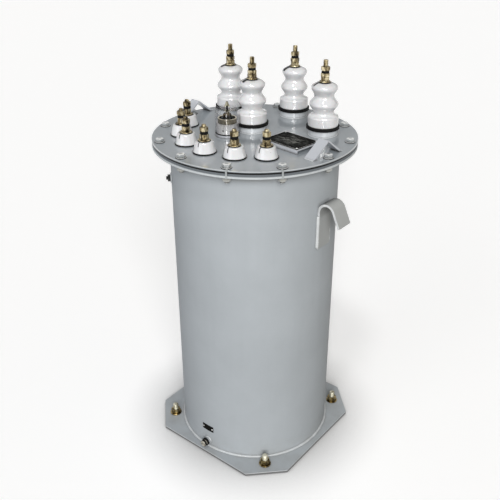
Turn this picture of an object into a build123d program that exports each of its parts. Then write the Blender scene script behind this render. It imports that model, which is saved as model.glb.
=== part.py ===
from build123d import *
import math
import os

# Oil-immersed transformer in a round tank, in millimetres.
# Origin: middle of the base plate's underside, +Z up.
# An azimuth is measured round the tank from -Y (the drain side) towards +X.

# Tank
tank_r = 217.0
tank_wall = 4.0
tank_h = 882.0
foot_weld = 6.0

# Base plate, reaching past the tank, and its fixing studs
base_margin = 21.0
base_t = 8.0
corner_margin = 32.5
stud_clearance = 5.4
base_stud_r = 8.0
base_stud_top = 41.0
base_nut_af = 24.0
base_nut_t = 13.0
base_washer_r = 17.0
base_washer_t = 3.0

# Joint between the tank and its lid: bolts outside the tank, edges outside the bolts
lid_bolt_offset = 25.0
lid_edge = 18.0
gasket_edge = 16.0
lid_t = 4.0
gasket_t = 4.0
flange_t = 11.5
flange_lip_t = 5.5
flange_lip_edge = 1.2
flange_recess = 2.5
lid_bolt_count = 12
lid_bolt_start = 23.0
lid_bolt_hole_r = 6.5
strap_azimuths = [24.0, 52.0]
strap_w = 5.0
strap_t = 1.5

# Clearances
weld_gap = 0.2
thread_gap = 0.25
spigot_gap = 1.5
fit_gap = 0.3

# High-voltage bushings
hv_seat_h = 17.0
hv_seat_r = 36.0
hv_gasket_r = 42.0
hv_gasket_t = 7.0
hv_base_r = 38.4
hv_base_h = 22.0
hv_foot_edge = 1.5
hv_shoulder_h = 3.0
hv_spigot_r = 22.0
hv_spigot_drop = 24.0
# Necks and sheds of the porcelain, as heights above its gasket and radii
hv_neck_1_z = 37.0
hv_neck_1_r = 26.5
hv_shed_1_z = 54.0
hv_shed_1_r = 36.0
hv_neck_2_z = 74.5
hv_neck_2_r = 25.0
hv_shed_2_z = 92.0
hv_shed_2_r = 32.6
hv_crown_r = 19.0
hv_porcelain_h = 107.0
hv_stud_r = 6.2
hv_stud_h = 55.0
hv_stud_drop = 22.0
hv_washer_r = 14.0
hv_washer_t = 5.0
hv_nut_af = 20.0
hv_nut_t = 18.5
hv_spacer_r = 9.5
hv_spacer_t = 6.0
hv_top_nut_t = 9.5
# Azimuth and radius of each on the lid: two at the rear rim, one near the middle, one at the side
hv_rim_r = tank_r - tank_wall - hv_spigot_r - spigot_gap
hv_middle_r = 30.2
hv_side_inset = 46.0
hv_places = [(238.4, hv_rim_r), (184.4, hv_rim_r), (232.0, hv_middle_r), (127.5, tank_r - hv_side_inset)]

# Low-voltage bushings on an arc at the front of the lid
# Azimuth of each and its distance inside the tank's side
lv_insets = [(-74.2, 26.5), (-50.0, 33.0), (-28.3, 35.0), (-3.9, 39.5), (22.3, 44.5), (47.3, 46.0)]
lv_places = [(azimuth, tank_r - inset) for azimuth, inset in lv_insets]
lv_gasket_r = 28.6
lv_gasket_t = 3.0
lv_base_r = 27.8
lv_top_r = 21.0
lv_porcelain_h = 25.0
lv_edge = 4.0
lv_spigot_r = 14.0
lv_spigot_drop = 16.0
lv_stud_r = 6.0
lv_stud_h = 40.0
lv_stud_drop = 14.0
lv_washer_r = 15.5
lv_washer_t = 3.5
lv_nut_af = 19.0
lv_nut_t = 13.0
lv_spacer_r = 9.5
lv_spacer_t = 7.0
lv_top_nut_t = 10.0
stud_chamfer = 1.5

# Tap switch under its clear cover, beside the middle high-voltage bushing
switch_bearing = -19.5
switch_gap = 0.6
switch_seat_h = 7.0
switch_seat_r = 29.5
switch_gasket_t = 2.0
cover_r = 30.5
cover_wall = 2.0
cover_h = 61.0
cover_edge = 1.5
switch_body_r = 28.2
switch_body_h = 24.5
switch_ring_r = 24.0
switch_ring_wall = 3.0
switch_ring_h = 12.0
switch_spindle_r = 2.5
switch_spindle_drop = 16.0
switch_grip_r = 8.5
switch_grip_h = 16.0
switch_grip_edge = 2.0
wing_hub_r = 4.0
wing_hub_h = 9.0
wing_drop = 7.0
wing_w = 3.0
wing_t = 2.4
wing_span = 13.5
wing_turn = 58.0

# Lid lifting brackets
# Azimuth of each, its distance inside the lid's edge and its own small turn
bracket_places = [(85.0, 40.0, -3.5), (261.5, 24.0, 3.5)]
bracket_w = 29.0
bracket_t = 3.0
bracket_foot = 8.0
bracket_span = 101.0
bracket_h = 37.0

# Nameplate on its raised holder
plate_azimuth = 87.0
plate_inset = 100.0
plate_turn = -6.8
plate_l = 110.0
plate_w = 80.0
plate_t = 1.0
holder_margin = 5.0
holder_t = 2.0
holder_h = 9.0

# Tank lifting lugs
lug_azimuths = [90.0, 270.0]
lug_w = 50.0
lug_t = 6.0
lug_drop = 138.0
lug_strap_l = 103.0
lug_arch_r = 24.0
lug_leg_angle = 24.0
lug_leg_l = 44.5

# Earth stud near the top of the tank
earth_azimuth = -42.0
earth_drop = 97.0
earth_boss_r = 12.0
earth_boss_t = 2.5
earth_stud_r = 5.0
earth_stud_l = 13.5
earth_nut_af = 17.0
earth_nut_t = 7.0

# Drain at the foot of the tank, with a small plate above it
drain_gap = 3.5
drain_boss_r = 10.0
drain_boss_l = 9.0
drain_seal_r = 11.5
drain_seal_t = 5.0
drain_plug_r = 9.0
drain_plug_l = 10.0
drain_plug_edge = 1.0
drain_thread_r = 6.0
drain_thread_l = 11.0
drain_slot_w = 2.5
drain_slot_d = 2.5
label_gap = 24.0
label_l = 39.0
label_h = 19.0
label_t = 0.8

# Places and levels worked out from the sizes above
base_half = tank_r + base_margin
stud_circle = tank_r + foot_weld + stud_clearance + base_washer_r
stud_spacing = stud_circle * math.sqrt(2)
base_corner_cut = 2 * base_half - (stud_circle + corner_margin) * math.sqrt(2)
lid_bolt_circle = tank_r + lid_bolt_offset
lid_r = lid_bolt_circle + lid_edge
gasket_r = lid_bolt_circle + gasket_edge
tank_top = base_t + tank_h
flange_bottom = tank_top - flange_t
lid_bottom = tank_top + gasket_t
lid_top = lid_bottom + lid_t
hv_gasket_z = lid_top + hv_seat_h
hv_base_z = hv_gasket_z + hv_gasket_t
hv_top_z = hv_base_z + hv_porcelain_h
lv_base_z = lid_top + lv_gasket_t
lv_top_z = lv_base_z + lv_porcelain_h
switch_base_z = lid_top + switch_seat_h + switch_gasket_t
switch_top_z = switch_base_z + switch_body_h
cover_top_z = switch_base_z + cover_h
lug_arch_z = tank_top - lug_drop
lug_bottom = lug_arch_z - lug_strap_l
earth_z = tank_top - earth_drop
drain_z = base_t + foot_weld + drain_gap + drain_seal_r
label_z = drain_z + drain_seal_r + label_gap + label_h / 2

os.makedirs("parts", exist_ok=True)


def save(shape, name):
    export_step(shape, f"parts/{name}.step")


def place(azimuth, radius, z=0.0):
    """Location at an azimuth, with its local -Y pointing outwards."""
    turn = Rot(0, 0, azimuth)
    return turn * Pos(0, -radius, z)


def tube(outer, inner, height, z=0.0):
    ring = Circle(outer) - Circle(inner)
    return Pos(0, 0, z) * extrude(ring, height)


def disc(radius, height, z=0.0):
    return Pos(0, 0, z) * extrude(Circle(radius), height)


def hexagon(across_flats, height, z=0.0):
    corner_r = across_flats / math.sqrt(3)
    return Pos(0, 0, z) * extrude(RegularPolygon(corner_r, 6), height)


def turned(points):
    """Solid of revolution of a closed outline of (radius, height) points."""
    outline = Polyline(*[(r, 0, z) for r, z in points], close=True)
    return revolve(make_face(outline), Axis.Z)


def copies(shape, locations):
    return Compound([loc * shape for loc in locations])


def bolt_holes(radius, height, z):
    hole = disc(radius, height, z)
    step = 360 / lid_bolt_count
    return [place(lid_bolt_start + i * step, lid_bolt_circle) * hole for i in range(lid_bolt_count)]


def switch_spot():
    """The tap switch's place, close beside the middle high-voltage bushing."""
    bushing = place(*hv_places[2]).position
    return Pos(bushing) * place(switch_bearing, hv_gasket_r + cover_r + switch_gap)


# Base plate, a square with its corners cut off
def base_plate():
    square = Rectangle(2 * base_half, 2 * base_half)
    outline = chamfer(square.vertices(), base_corner_cut)
    plate = extrude(outline, base_t)
    for hole in GridLocations(stud_spacing, stud_spacing, 2, 2):
        plate -= hole * disc(base_stud_r + thread_gap, base_t)
    return plate


def base_studs():
    """Studs through the base plate, each one solid with the nut run down on it."""
    stud = chamfer(disc(base_stud_r, base_stud_top).edges().group_by(Axis.Z)[-1], stud_chamfer)
    bolt = stud + hexagon(base_nut_af, base_nut_t, base_t + base_washer_t)
    return copies(bolt, GridLocations(stud_spacing, stud_spacing, 2, 2))


def base_washers():
    washer = tube(base_washer_r, base_stud_r + thread_gap, base_washer_t, base_t)
    return copies(washer, GridLocations(stud_spacing, stud_spacing, 2, 2))


# Tank wall, the fillet weld at its foot and its bolting flange
def tank_shell():
    return tube(tank_r, tank_r - tank_wall, tank_h, base_t)


def base_weld():
    inner = tank_r + weld_gap
    return turned([(inner, base_t), (inner + foot_weld, base_t), (inner, base_t + foot_weld)])


def tank_flange():
    """Bolting ring whose lower lip stands out past its recessed upper edge."""
    inner = tank_r + weld_gap
    recess_r = lid_r - flange_recess
    lip_top = flange_bottom + flange_lip_t
    ring = turned([
        (inner, flange_bottom), (lid_r - flange_lip_edge, flange_bottom),
        (lid_r, flange_bottom + flange_lip_edge), (lid_r, lip_top),
        (recess_r, lip_top), (recess_r, tank_top), (inner, tank_top),
    ])
    return ring - bolt_holes(lid_bolt_hole_r, flange_t, flange_bottom)


def lid_gasket():
    ring = tube(gasket_r, tank_r - tank_wall, gasket_t, tank_top)
    return ring - bolt_holes(lid_bolt_hole_r, gasket_t, tank_top)


# Lid with a hole for each bushing, the switch and each bolt
def lid():
    plate = disc(lid_r, lid_t, lid_bottom)
    plate = plate - bolt_holes(lid_bolt_hole_r, lid_t, lid_bottom)
    hv_hole = disc(hv_spigot_r + spigot_gap, lid_t, lid_bottom)
    lv_hole = disc(lv_spigot_r + spigot_gap, lid_t, lid_bottom)
    plate = plate - [place(a, r) * hv_hole for a, r in hv_places]
    plate = plate - [place(a, r) * lv_hole for a, r in lv_places]
    return plate - switch_spot() * disc(switch_spindle_r + spigot_gap, lid_t, lid_bottom)


def bonding_straps():
    """Thin painted straps down the edge of the lid beside two of its bolts."""
    height = lid_top - flange_bottom
    strap = Pos(0, -strap_t / 2 - fit_gap, flange_bottom + height / 2) * Box(strap_w, strap_t, height)
    return copies(strap, [place(azimuth, lid_r) for azimuth in strap_azimuths])


# High-voltage bushings
def hv_seat():
    return tube(hv_seat_r, hv_spigot_r + spigot_gap, hv_seat_h, lid_top)


def hv_gasket():
    return tube(hv_gasket_r, hv_spigot_r + spigot_gap, hv_gasket_t, hv_gasket_z)


def hv_bushing():
    """Porcelain with two rounded sheds, a stout foot and a spigot down through the lid."""
    bore = hv_stud_r + fit_gap
    bottom = lid_bottom - hv_spigot_drop
    foot_top = hv_base_z + hv_base_h
    shoulder = (hv_base_r - hv_foot_edge, foot_top + hv_shoulder_h)
    sheds = [
        (hv_neck_1_r, hv_base_z + hv_neck_1_z),
        (hv_shed_1_r, hv_base_z + hv_shed_1_z),
        (hv_neck_2_r, hv_base_z + hv_neck_2_z),
        (hv_shed_2_r, hv_base_z + hv_shed_2_z),
    ]
    crown = (hv_crown_r, hv_top_z)
    side = Spline(*[(r, 0, z) for r, z in [shoulder] + sheds + [crown]])
    base = Polyline(
        (shoulder[0], 0, shoulder[1]),
        (hv_base_r, 0, foot_top),
        (hv_base_r, 0, hv_base_z + hv_foot_edge),
        (hv_base_r - hv_foot_edge, 0, hv_base_z),
        (hv_spigot_r, 0, hv_base_z),
        (hv_spigot_r, 0, bottom),
        (bore, 0, bottom),
        (bore, 0, hv_top_z),
        (crown[0], 0, crown[1]),
    )
    return revolve(make_face([side, base]), Axis.Z)


def terminal(stud_r, bottom, top, washer_r, washer_t, nut_af, nut_t, spacer_t, top_nut_t, height):
    """Stud with a washer and two nuts clamped on the porcelain's top."""
    rod = disc(stud_r, top + height - bottom, bottom)
    stud = chamfer(rod.edges().group_by(Axis.Z)[-1], stud_chamfer)
    stack = stud + disc(washer_r, washer_t, top)
    stack = stack + hexagon(nut_af, nut_t, top + washer_t)
    return stack + hexagon(nut_af, top_nut_t, top + washer_t + nut_t + spacer_t)


def hv_terminal():
    bottom = lid_bottom - hv_spigot_drop - hv_stud_drop
    return terminal(
        hv_stud_r, bottom, hv_top_z, hv_washer_r, hv_washer_t,
        hv_nut_af, hv_nut_t, hv_spacer_t, hv_top_nut_t, hv_stud_h,
    )


def hv_spacer():
    z = hv_top_z + hv_washer_t + hv_nut_t
    return tube(hv_spacer_r, hv_stud_r + fit_gap, hv_spacer_t, z)


# Low-voltage bushings
def lv_gasket():
    return tube(lv_gasket_r, lv_spigot_r + spigot_gap, lv_gasket_t, lid_top)


def lv_bushing():
    """Short tapered porcelain with a rounded top edge."""
    bore = lv_stud_r + fit_gap
    bottom = lid_bottom - lv_spigot_drop
    body = turned([
        (bore, bottom), (lv_spigot_r, bottom), (lv_spigot_r, lv_base_z),
        (lv_base_r, lv_base_z), (lv_top_r, lv_top_z), (bore, lv_top_z),
    ])
    rim = body.edges().filter_by(GeomType.CIRCLE).group_by(Axis.Z)[-1].sort_by(SortBy.RADIUS)[-1]
    return fillet(rim, lv_edge)


def lv_terminal():
    bottom = lid_bottom - lv_spigot_drop - lv_stud_drop
    return terminal(
        lv_stud_r, bottom, lv_top_z, lv_washer_r, lv_washer_t,
        lv_nut_af, lv_nut_t, lv_spacer_t, lv_top_nut_t, lv_stud_h,
    )


def lv_spacer():
    z = lv_top_z + lv_washer_t + lv_nut_t
    return tube(lv_spacer_r, lv_stud_r + fit_gap, lv_spacer_t, z)


# Tap switch
def switch_seat():
    return tube(switch_seat_r, switch_spindle_r + spigot_gap, switch_seat_h, lid_top)


def switch_gasket():
    return tube(cover_r, switch_spindle_r + spigot_gap, switch_gasket_t, lid_top + switch_seat_h)


def switch_body():
    return tube(switch_body_r, switch_spindle_r + fit_gap, switch_body_h, switch_base_z)


def switch_ring():
    return tube(switch_ring_r, switch_ring_r - switch_ring_wall, switch_ring_h, switch_top_z)


def switch_spindle():
    """Spindle up through the cover, with a grip inside the ring."""
    bottom = lid_bottom - switch_spindle_drop
    top = cover_top_z + wing_drop + wing_hub_h
    stem = disc(switch_spindle_r, top - bottom, bottom)
    grip = disc(switch_grip_r, switch_grip_h, switch_top_z)
    return stem + fillet(grip.edges().group_by(Axis.Z)[-1], switch_grip_edge)


def switch_cover():
    """Clear cap over the whole switch, with a hole for the spindle."""
    shell = disc(cover_r, cover_h, switch_base_z)
    shell = fillet(shell.edges().group_by(Axis.Z)[-1], cover_edge)
    inner = disc(cover_r - cover_wall, cover_h - cover_wall, switch_base_z)
    return shell - inner - disc(switch_spindle_r + fit_gap, cover_h, switch_base_z)


def wing_nut():
    """Nut with its two wings sloping down to the cover's top."""
    foot = wing_span / 2
    hub = disc(wing_hub_r, wing_hub_h, wing_drop)
    wing = Polyline(
        (foot - wing_w, 0, 0), (foot, 0, 0), (wing_hub_r, 0, wing_drop + wing_hub_h / 2),
        (0, 0, wing_drop + wing_hub_h / 2), (0, 0, wing_drop), close=True,
    )
    blade = extrude(make_face(wing), wing_t / 2, both=True)
    nut = hub + blade + mirror(blade, Plane.YZ)
    nut = nut - disc(switch_spindle_r + thread_gap, wing_drop + wing_hub_h)
    return Pos(0, 0, cover_top_z) * Rot(0, 0, wing_turn) * nut


# Lid lifting brackets, flat bars bent to a low arch
def lid_bracket():
    half = bracket_span / 2
    rise = bracket_h - bracket_t
    outline = Polyline(
        (-half, 0, 0), (bracket_foot - half, 0, 0), (0, 0, rise), (half - bracket_foot, 0, 0),
        (half, 0, 0), (bracket_t / 2, 0, bracket_h), (-bracket_t / 2, 0, bracket_h), close=True,
    )
    return Pos(0, 0, lid_top) * extrude(make_face(outline), bracket_w / 2, both=True)


# Nameplate holder, a plate with both long edges bent down to the lid
def nameplate_holder():
    length = plate_l + 2 * holder_margin
    width = plate_w + 2 * holder_margin
    top = Box(length, width, holder_h)
    hollow = Pos(0, 0, -holder_t) * Box(length, width - 2 * holder_t, holder_h)
    return Pos(0, 0, lid_top + holder_h / 2) * (top - hollow)


def nameplate():
    return Pos(0, 0, lid_top + holder_h + plate_t / 2) * Box(plate_l, plate_w, plate_t)


# Tank lifting lugs, straps bent over into a hook
def lifting_lug():
    """Strap up the wall, a round arch outwards and a flared leg, seated on the tank."""
    back = math.sqrt(tank_r ** 2 - (lug_w / 2) ** 2)
    mid_r = lug_arch_r - lug_t / 2
    centre = back + lug_arch_r
    angle = math.radians(lug_leg_angle)
    turn = math.radians(180 + lug_leg_angle) / 2
    leg_top = (centre + mid_r * math.cos(angle), lug_arch_z + mid_r * math.sin(angle))
    crown = (centre + mid_r * math.cos(turn), lug_arch_z + mid_r * math.sin(turn))
    leg_end = (leg_top[0] + lug_leg_l * math.sin(angle), leg_top[1] - lug_leg_l * math.cos(angle))
    start = back + lug_t / 2
    back_line = Line((start, 0, lug_bottom), (start, 0, lug_arch_z))
    arch = ThreePointArc((start, 0, lug_arch_z), (crown[0], 0, crown[1]), (leg_top[0], 0, leg_top[1]))
    leg = Line((leg_top[0], 0, leg_top[1]), (leg_end[0], 0, leg_end[1]))
    path = back_line + arch + leg
    section = Plane(origin=path @ 0, x_dir=(1, 0, 0), z_dir=path % 0) * Rectangle(lug_t, lug_w)
    strap = sweep(section, path)
    return strap - disc(tank_r + weld_gap, tank_h, base_t)


# Earth stud
def radial(shape, azimuth, radius, z):
    """Turns a shape made along +Z so that it points outwards from the tank."""
    return place(azimuth, radius, z) * Rot(90, 0, 0) * shape


def earth_boss():
    boss = disc(earth_boss_r, 2 * earth_boss_t, -earth_boss_t)
    boss -= disc(earth_stud_r + thread_gap, 2 * earth_boss_t, -earth_boss_t)
    return radial(boss, earth_azimuth, tank_r, earth_z) - disc(tank_r + weld_gap, tank_h, base_t)


def earth_stud():
    stud = disc(earth_stud_r, earth_stud_l, fit_gap) + hexagon(earth_nut_af, earth_nut_t, earth_boss_t)
    return radial(stud, earth_azimuth, tank_r, earth_z)


# Drain boss, its rubber ring and the slotted plug
def drain_boss():
    boss = disc(drain_boss_r, 2 * drain_boss_l, -drain_boss_l)
    boss -= disc(drain_thread_r + thread_gap, 2 * drain_boss_l, -drain_boss_l)
    return radial(boss, 0, tank_r, drain_z) - disc(tank_r + weld_gap, tank_h, base_t)


def drain_seal():
    ring = tube(drain_seal_r, drain_thread_r + thread_gap, drain_seal_t, drain_boss_l)
    return radial(ring, 0, tank_r, drain_z)


def drain_plug():
    start = drain_boss_l + drain_seal_t
    head = fillet(disc(drain_plug_r, drain_plug_l, start).edges().group_by(Axis.Z)[-1], drain_plug_edge)
    slot = Pos(0, 0, start + drain_plug_l) * Box(2 * drain_plug_r, drain_slot_w, 2 * drain_slot_d)
    plug = head - slot + disc(drain_thread_r, drain_thread_l, start - drain_thread_l)
    return radial(plug, 0, tank_r, drain_z)


def drain_label():
    ring = tube(tank_r + weld_gap + label_t, tank_r + weld_gap, label_h, label_z - label_h / 2)
    return ring & Pos(0, -tank_r, label_z) * Box(label_l, tank_r, label_h)


save(base_plate(), "base_plate")
save(base_studs(), "base_studs")
save(base_washers(), "base_washers")
save(base_weld(), "base_weld")
save(tank_shell(), "tank_shell")
save(tank_flange(), "tank_flange")
save(lid_gasket(), "lid_gasket")
save(lid(), "lid")
save(bonding_straps(), "bonding_straps")

save(copies(hv_seat(), [place(a, r) for a, r in hv_places]), "hv_seats")
save(copies(hv_gasket(), [place(a, r) for a, r in hv_places]), "hv_gaskets")
save(copies(hv_spacer(), [place(a, r) for a, r in hv_places]), "hv_spacers")
porcelain = hv_bushing()
stem = hv_terminal()
for number, (azimuth, radius) in enumerate(hv_places, start=1):
    save(place(azimuth, radius) * porcelain, f"hv_bushing_{number}")
    save(place(azimuth, radius) * stem, f"hv_terminal_{number}")

save(copies(lv_gasket(), [place(a, r) for a, r in lv_places]), "lv_gaskets")
save(copies(lv_spacer(), [place(a, r) for a, r in lv_places]), "lv_spacers")
porcelain = lv_bushing()
stem = lv_terminal()
for number, (azimuth, radius) in enumerate(lv_places, start=1):
    save(place(azimuth, radius) * porcelain, f"lv_bushing_{number}")
    save(place(azimuth, radius) * stem, f"lv_terminal_{number}")

switch_parts = {
    "switch_seat": switch_seat(),
    "switch_gasket": switch_gasket(),
    "switch_body": switch_body(),
    "switch_ring": switch_ring(),
    "switch_spindle": switch_spindle(),
    "switch_cover": switch_cover(),
    "switch_wing_nut": wing_nut(),
}
for name, shape in switch_parts.items():
    save(switch_spot() * shape, name)

plate_spot = place(plate_azimuth, tank_r - plate_inset) * Rot(0, 0, plate_turn - plate_azimuth)
save(plate_spot * nameplate_holder(), "nameplate_holder")
save(plate_spot * nameplate(), "nameplate")
for number, (azimuth, inset, turn) in enumerate(bracket_places, start=1):
    save(place(azimuth, lid_r - inset) * Rot(0, 0, turn) * lid_bracket(), f"lid_bracket_{number}")
for number, azimuth in enumerate(lug_azimuths, start=1):
    save(Rot(0, 0, azimuth - 90) * lifting_lug(), f"lifting_lug_{number}")
save(earth_boss(), "earth_boss")
save(earth_stud(), "earth_stud")
save(drain_boss(), "drain_boss")
save(drain_seal(), "drain_seal")
save(drain_plug(), "drain_plug")
save(drain_label(), "drain_label")
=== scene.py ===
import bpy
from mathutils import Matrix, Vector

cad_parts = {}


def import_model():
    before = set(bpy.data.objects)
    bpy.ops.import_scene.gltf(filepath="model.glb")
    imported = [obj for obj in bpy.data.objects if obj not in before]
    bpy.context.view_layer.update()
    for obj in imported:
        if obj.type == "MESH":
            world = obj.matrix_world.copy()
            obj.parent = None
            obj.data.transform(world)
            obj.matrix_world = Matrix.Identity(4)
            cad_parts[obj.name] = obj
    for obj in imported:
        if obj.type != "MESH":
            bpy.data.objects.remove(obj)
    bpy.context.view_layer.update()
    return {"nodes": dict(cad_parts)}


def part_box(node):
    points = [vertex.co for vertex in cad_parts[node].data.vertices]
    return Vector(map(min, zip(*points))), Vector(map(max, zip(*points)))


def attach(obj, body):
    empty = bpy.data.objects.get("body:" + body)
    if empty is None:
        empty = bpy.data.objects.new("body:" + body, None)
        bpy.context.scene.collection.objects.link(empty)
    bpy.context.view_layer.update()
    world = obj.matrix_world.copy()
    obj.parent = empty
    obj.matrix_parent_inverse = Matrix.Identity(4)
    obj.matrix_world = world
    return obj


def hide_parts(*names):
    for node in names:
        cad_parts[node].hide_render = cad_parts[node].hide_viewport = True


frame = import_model()

import math
import random

import bmesh
import bpy
import numpy as np
from mathutils import Matrix, Vector

MM = 0.001
chance = random.Random(7)

# Levels and radii read from the frame
lid_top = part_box("lid")[1].z
lid_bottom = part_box("lid")[0].z
lid_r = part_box("lid")[1].x
flange_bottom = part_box("tank_flange")[0].z
tank_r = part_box("tank_shell")[1].x
base_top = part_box("base_plate")[1].z

# Sizes and places that the frame doesn't give directly. Azimuths and turns are in degrees
hv_numbers, lv_numbers = range(1, 5), range(1, 7)
lid_bolt_circle = 242 * MM
lid_bolt_azimuths = [23 + i * 30 for i in range(12)]
strap_azimuths = [24.0, 52.0]
bracket_places = [(85.0, lid_r - 40 * MM, -3.5), (261.5, lid_r - 24 * MM, 3.5)]  # azimuth, radius, turn
bracket_span, bracket_w = 101 * MM, 29 * MM
lug_azimuths = [90, 270]
earth_azimuth, drain_azimuth = -42.0, 0.0
plate_turn = -6.8
view_azimuth = 38.2047
coarse_pitch = 1.75 * MM  # of an M12 thread


def middle(node):
    low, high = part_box(node)
    return (low + high) / 2


def spot(node, z):
    """Matrix that stands a piece on the vertical axis of a CAD node, at a height."""
    centre = middle(node)
    return Matrix.Translation((centre.x, centre.y, z))


def turn_z(degrees):
    return Matrix.Rotation(math.radians(degrees), 4, "Z")


def around(azimuth, radius, z=0.0):
    """Matrix at an azimuth round the tank, measured from -Y towards +X, with local -Y pointing outwards."""
    return turn_z(azimuth) @ Matrix.Translation((0, -radius, z))


def radial(azimuth, radius, z):
    """Matrix that points local +Z outwards from the tank."""
    return around(azimuth, radius, z) @ Matrix.Rotation(math.radians(90), 4, "X")


def corners(x, y):
    """Matrices at the four corners of a rectangle round the origin."""
    return [Matrix.Translation((sx * x, sy * y, 0)) for sx in (-1, 1) for sy in (-1, 1)]


class Shape:
    """Collects the solids of one piece, each as its points and faces."""

    def __init__(self):
        self.points = []
        self.faces = []

    def add(self, solid, matrix=None):
        points, faces = solid
        points = np.asarray(points, float).reshape(-1, 3)
        if matrix is not None:
            m = np.array(matrix)
            points = points @ m[:3, :3].T + m[:3, 3]
        start = sum(len(block) for block in self.points)
        self.points.append(points)
        self.faces.extend([tuple(start + i for i in face) for face in faces])

    def piece(self, name, mat, slot, replaced=(), sharp=35.0):
        """Makes the object, rides it on the body and hides the CAD nodes that it replaces."""
        mesh = bpy.data.meshes.new(name)
        mesh.from_pydata(np.concatenate(self.points).tolist(), [], self.faces)
        mesh.validate()
        made = bmesh.new()
        made.from_mesh(mesh)
        bmesh.ops.recalc_face_normals(made, faces=made.faces)
        made.to_mesh(mesh)
        made.free()
        mesh.shade_smooth()
        mesh.set_sharp_from_angle(angle=math.radians(sharp))
        mesh.materials.append(mat)
        obj = bpy.data.objects.new(name, mesh)
        bpy.context.scene.collection.objects.link(obj)
        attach(obj, "root")
        if replaced:
            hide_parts(*replaced)


def skin(rings, loop=False):
    """Solid over rings of equal point count. A loop joins the last ring to the first, and else both ends get a fan."""
    rings = np.asarray(rings, float)
    count, sides = rings.shape[:2]
    points = rings.reshape(-1, 3)
    faces = []
    for i in range(count if loop else count - 1):
        low, high = i * sides, ((i + 1) % count) * sides
        for k in range(sides):
            j = (k + 1) % sides
            faces.append((low + k, low + j, high + j, high + k))
    if not loop:
        ends = np.stack([rings[0].mean(0), rings[-1].mean(0)])
        points = np.concatenate([points, ends])
        first, last = len(points) - 2, len(points) - 1
        top = (count - 1) * sides
        for k in range(sides):
            j = (k + 1) % sides
            faces.append((first, j, k))
            faces.append((last, top + k, top + j))
    return points, faces


def full_turn(count):
    """Angles of a whole turn in equal steps."""
    return np.linspace(0, 2 * math.pi, count, endpoint=False)


def ring_at(radius, angles, height):
    """Points round local Z. Radius and height are one number each, or one for every angle."""
    radius = np.broadcast_to(radius, angles.shape)
    height = np.broadcast_to(height, angles.shape)
    return np.stack([radius * np.cos(angles), radius * np.sin(angles), height], 1)


def turned(profile, sides, loop=False):
    """Solid of revolution of a profile of (radius, height) points."""
    angles = full_turn(sides)
    return skin([ring_at(r, angles, z) for r, z in profile], loop)


def washer(outer, inner, bottom, top, edge=0.5 * MM, sides=48):
    profile = [
        (inner, bottom), (outer - edge, bottom), (outer, bottom + edge),
        (outer, top - edge), (outer - edge, top), (inner, top),
    ]
    return turned(profile, sides, loop=True)


def dished(outer, inner, bottom, top):
    """Washer pressed into a shallow dish, thicker round its hole and rolled at its rim."""
    rise = top - bottom
    profile = [
        (inner, bottom), (outer - 1.0 * MM, bottom), (outer, bottom + 0.35 * rise),
        (outer - 0.25 * MM, bottom + 0.62 * rise), (outer - 1.1 * MM, bottom + 0.70 * rise),
        (outer * 0.86, bottom + 0.58 * rise), (outer * 0.76, top), (inner, top),
    ]
    return turned(profile, 56, loop=True)


def hexagon(across_flats, bottom, top, bore=0.0, crown=0.0):
    """Nut or bolt head whose corners are turned off at 30 degrees, with a crowned top where that is given."""
    steps_per_flat, chamfer = 12, 0.6 * MM
    apothem = across_flats / 2
    face_r = apothem * 0.97
    angles = full_turn(6 * steps_per_flat)
    hex_r = apothem / np.cos(angles % (math.pi / 3) - math.pi / 6)
    drop = (hex_r - face_r) * math.tan(math.radians(30))
    profile = [(face_r, bottom), (hex_r, bottom + drop), (hex_r, top - drop), (face_r, top)]
    if bore:
        profile = [(bore, bottom)] + profile + [(bore + chamfer, top), (bore, top - chamfer)]
    if crown:
        profile += [(face_r * part, top + crown * (1 - part ** 2)) for part in (0.85, 0.6, 0.3)]
    return skin([ring_at(radius, angles, height) for radius, height in profile], loop=bool(bore))


def threaded(radius, bottom, top, pitch, tip=1.5 * MM, dome=0.0, sides=32):
    """Rod with a real helical thread and a turned-down or domed end."""
    depth = 0.55 * pitch
    steps_per_pitch = 8
    angles = full_turn(sides)
    rings = []
    for z in np.arange(bottom, top + 1e-9, pitch / steps_per_pitch):
        phase = (z / pitch - angles / (2 * math.pi)) % 1.0
        groove = depth * np.abs(2 * phase - 1)
        room = max(0.0, z - (top - tip)) / tip
        limit = radius * math.sqrt(max(0.0, 1 - (dome * room) ** 2)) - (0 if dome else room * depth)
        rings.append(ring_at(np.minimum(radius - groove, limit), angles, z))
    return skin(rings)


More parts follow.
